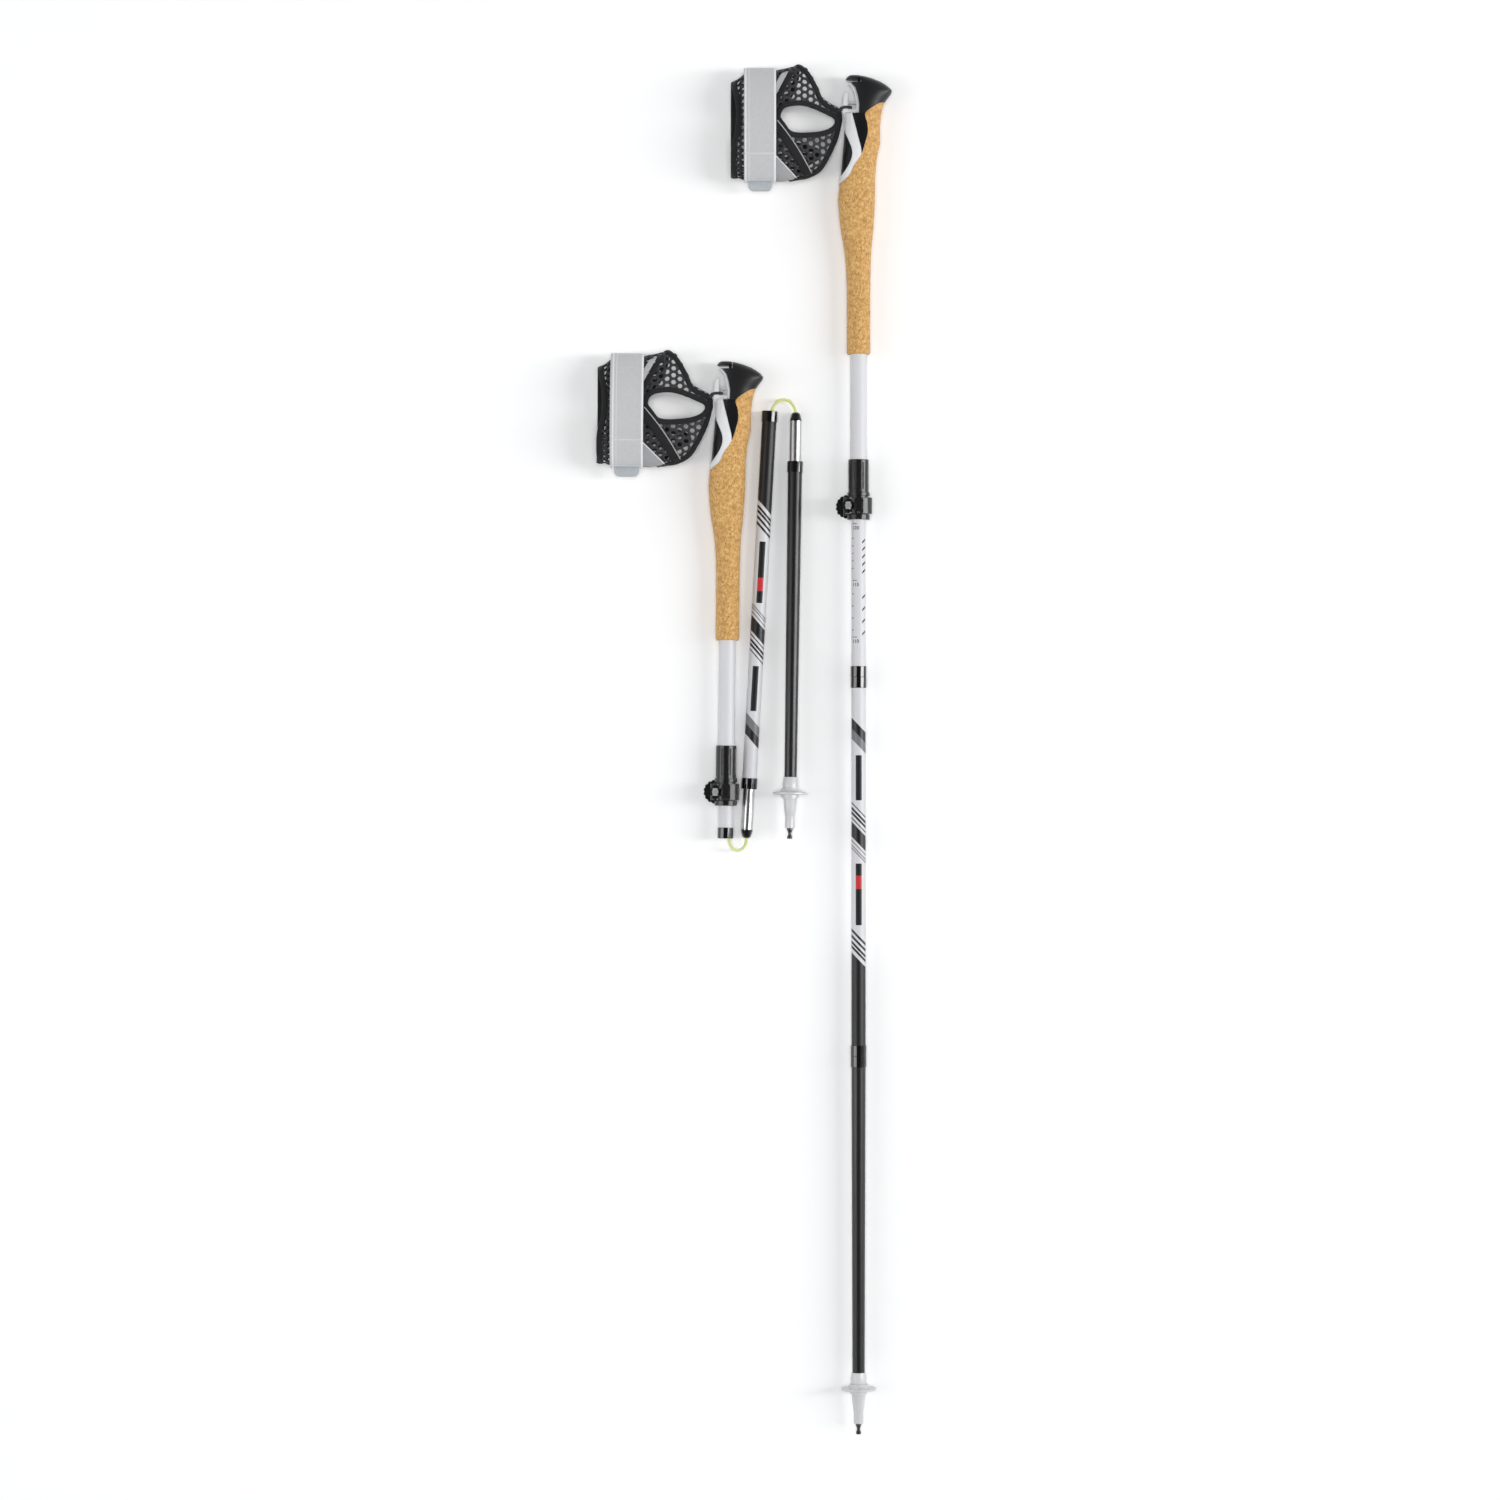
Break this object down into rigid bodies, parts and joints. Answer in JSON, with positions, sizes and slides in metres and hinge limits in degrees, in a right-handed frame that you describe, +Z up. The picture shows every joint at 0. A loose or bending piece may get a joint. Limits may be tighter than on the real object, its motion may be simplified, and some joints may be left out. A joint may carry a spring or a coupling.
{
  "type": "trekking poles",
  "caption": "Pair of folding trekking poles with cork grips, hand straps and lever locks: one put together, one folded in three parallel sections.",
  "frame": {"origin": "middle of the pair's outline on the ground that both poles lie on", "axes": "+Y along the poles towards the grips, +Z up from the ground, +X towards the open pole"},
  "size_m": [0.256, 1.2094, 0.0418],
  "materials": {
    "cork": "natural cork, matte, fine dark grain",
    "black_plastic": "satin moulded",
    "soft_black": "soft-touch matte",
    "white_plastic": "satin moulded",
    "white_paint": "gloss lacquer with printed stripes",
    "gloss_black": "gloss",
    "matte_black_tube": "matte lacquer",
    "steel": "brushed",
    "hard_metal": "ground hard metal",
    "cord_sheath": "braided sheath",
    "strap_mesh_fabric": "open knitted mesh",
    "strap_band_fabric": "woven ribbon with a rubber tab",
    "loop_cord": "braided cord"
  },
  "bodies": {
    "open_grip": {"open_grip_cork": "cork", "open_grip_cap": "soft_black", "open_grip_core": "black_plastic", "open_trigger_frame": "white_plastic", "open_upper_tube": "white_paint", "open_lock_collar": "black_plastic", "open_lock_bolt": "steel", "open_gate_spring": "steel"},
    "open_gate": {"open_trigger_gate": "white_plastic"},
    "open_button": {"open_release_button": "soft_black"},
    "open_lever": {"open_lock_lever": "black_plastic"},
    "open_wheel": {"open_lock_wheel": "black_plastic"},
    "open_adjust": {"open_adjust_tube": "white_paint", "open_adjust_ferrule": "gloss_black"},
    "open_push": {"open_push_button": "steel"},
    "open_mid": {"open_mid_tube": "white_paint", "open_mid_ferrules": "gloss_black", "open_mid_connector": "steel", "open_mid_nose": "gloss_black", "open_cord": "cord_sheath"},
    "open_lower": {"open_lower_tube": "matte_black_tube", "open_lower_collar": "gloss_black", "open_lower_connector": "steel", "open_lower_nose": "gloss_black", "open_tip_holder": "white_plastic", "open_carbide_tip": "hard_metal"},
    "open_turning_basket": {"open_basket": "white_plastic"},
    "open_strap": {"open_strap_loop": "loop_cord", "open_strap_mesh": "strap_mesh_fabric", "open_strap_band": "strap_band_fabric"},
    "folded_grip": {"folded_grip_cork": "cork", "folded_grip_cap": "soft_black", "folded_grip_core": "black_plastic", "folded_trigger_frame": "white_plastic", "folded_upper_tube": "white_paint", "folded_lock_collar": "black_plastic", "folded_lock_bolt": "steel", "folded_gate_spring": "steel"},
    "folded_gate": {"folded_trigger_gate": "white_plastic"},
    "folded_button": {"folded_release_button": "soft_black"},
    "folded_lever": {"folded_lock_lever": "black_plastic"},
    "folded_wheel": {"folded_lock_wheel": "black_plastic"},
    "folded_adjust": {"folded_adjust_tube": "white_paint", "folded_adjust_ferrule": "gloss_black"},
    "folded_push": {"folded_push_button": "steel"},
    "folded_mid": {"folded_mid_tube": "white_paint", "folded_mid_ferrules": "gloss_black", "folded_mid_connector": "steel", "folded_mid_nose": "gloss_black", "folded_cord": "cord_sheath"},
    "folded_lower": {"folded_lower_tube": "matte_black_tube", "folded_lower_collar": "gloss_black", "folded_lower_connector": "steel", "folded_lower_nose": "gloss_black", "folded_tip_holder": "white_plastic", "folded_carbide_tip": "hard_metal"},
    "folded_turning_basket": {"folded_basket": "white_plastic"},
    "folded_strap": {"folded_strap_loop": "loop_cord", "folded_strap_mesh": "strap_mesh_fabric", "folded_strap_band": "strap_band_fabric"}
  },
  "joints": [
    {"name": "open_length", "type": "slide", "parent": "open_grip", "child": "open_adjust", "axis": [0, -1, 0], "range_m": [-0.11, 0.1]},
    {"name": "open_lever_clamp", "type": "hinge", "parent": "open_grip", "child": "open_lever", "pos_m": [0.0897, 0.2155, 0.0248], "axis": [0, -1, 0], "range_deg": [0, 120]},
    {"name": "open_wheel_turn", "type": "hinge", "parent": "open_grip", "child": "open_wheel", "pos_m": [0.0897, 0.2155, 0.005], "axis": [0, 0, -1], "continuous": true},
    {"name": "open_button_press", "type": "slide", "parent": "open_grip", "child": "open_button", "axis": [0, -1, 0], "range_m": [0, 0.0022], "stiffness_N_per_m": 400, "springref_m": -0.001},
    {"name": "open_gate_swing", "type": "hinge", "parent": "open_grip", "child": "open_gate", "pos_m": [0.1014, 0.572, 0.0152], "axis": [0, 0, -1], "range_deg": [0, 38.5], "deforming": ["open_gate_spring"]},
    {"name": "open_push_press", "type": "slide", "parent": "open_adjust", "child": "open_push", "axis": [0, 0, 1], "range_m": [0, 0.001], "stiffness_N_per_m": 400, "springref_m": -0.0005},
    {"name": "open_strap_swing", "type": "hinge", "parent": "open_grip", "child": "open_strap", "pos_m": [0.0923, 0.5675, 0.0152], "axis": [0, 0, -1], "range_deg": [0, 20]},
    {"name": "open_basket_turn", "type": "hinge", "parent": "open_lower", "child": "open_turning_basket", "pos_m": [0.099, -0.564, 0.0152], "axis": [0, 1, 0], "range_deg": [0, 90]},
    {"name": "folded_length", "type": "slide", "parent": "folded_grip", "child": "folded_adjust", "axis": [-0.0096, -1, 0], "range_m": [0, 0.21]},
    {"name": "folded_lever_clamp", "type": "hinge", "parent": "folded_grip", "child": "folded_lever", "pos_m": [-0.02755, -0.03699, 0.0248], "axis": [-0.0096, -1, 0], "range_deg": [0, 120]},
    {"name": "folded_wheel_turn", "type": "hinge", "parent": "folded_grip", "child": "folded_wheel", "pos_m": [-0.02755, -0.03699, 0.005], "axis": [0, 0, -1], "continuous": true},
    {"name": "folded_button_press", "type": "slide", "parent": "folded_grip", "child": "folded_button", "axis": [-0.0096, -1, 0], "range_m": [0, 0.0022], "stiffness_N_per_m": 400, "springref_m": -0.001},
    {"name": "folded_gate_swing", "type": "hinge", "parent": "folded_grip", "child": "folded_gate", "pos_m": [-0.01243, 0.31938, 0.0152], "axis": [0, 0, -1], "range_deg": [0, 38.5], "deforming": ["folded_gate_spring"]},
    {"name": "folded_push_press", "type": "slide", "parent": "folded_adjust", "child": "folded_push", "axis": [0, 0, 1], "range_m": [0, 0.001], "stiffness_N_per_m": 400, "springref_m": -0.0005},
    {"name": "folded_strap_swing", "type": "hinge", "parent": "folded_grip", "child": "folded_strap", "pos_m": [-0.02157, 0.31497, 0.0152], "axis": [0, 0, -1], "range_deg": [0, 20]},
    {"name": "folded_basket_turn", "type": "hinge", "parent": "folded_lower", "child": "folded_turning_basket", "pos_m": [0.0387, -0.03795, 0.0153], "axis": [0.0147, 0.9995, -0.0279], "range_deg": [0, 90]},
    {"name": "open_mid_pull", "type": "slide", "parent": "open_adjust", "child": "open_mid", "axis": [0, -1, 0], "range_m": [0, 0.045], "deforming": ["open_cord"]},
    {"name": "open_lower_pull", "type": "slide", "parent": "open_mid", "child": "open_lower", "axis": [0, -1, 0], "range_m": [0, 0.045], "deforming": ["open_cord"]},
    {"name": "folded_mid_fold", "type": "hinge", "parent": "folded_adjust", "child": "folded_mid", "pos_m": [-0.0084, -0.0822, 0.007], "axis": [1, 0, 0], "range_deg": [0, 180], "deforming": ["folded_cord"]},
    {"name": "folded_lower_fold", "type": "hinge", "parent": "folded_mid", "child": "folded_lower", "pos_m": [0.0346, 0.3058, 0.007], "axis": [1, 0, 0], "range_deg": [-180, 0], "deforming": ["folded_cord"]},
    {"name": "folded_pole_apart", "type": "slide", "parent": "open_grip", "child": "folded_grip", "axis": [-1, 0, 0], "range_m": [0, 0.2]}
  ],
  "couplings": [
    {"joint": "open_gate_swing", "follows": "open_button_press", "rad_per_m": 301.47},
    {"joint": "folded_gate_swing", "follows": "folded_button_press", "rad_per_m": 301.47},
    {"joint": "folded_lower_fold", "follows": "folded_mid_fold", "ratio": -1}
  ]
}
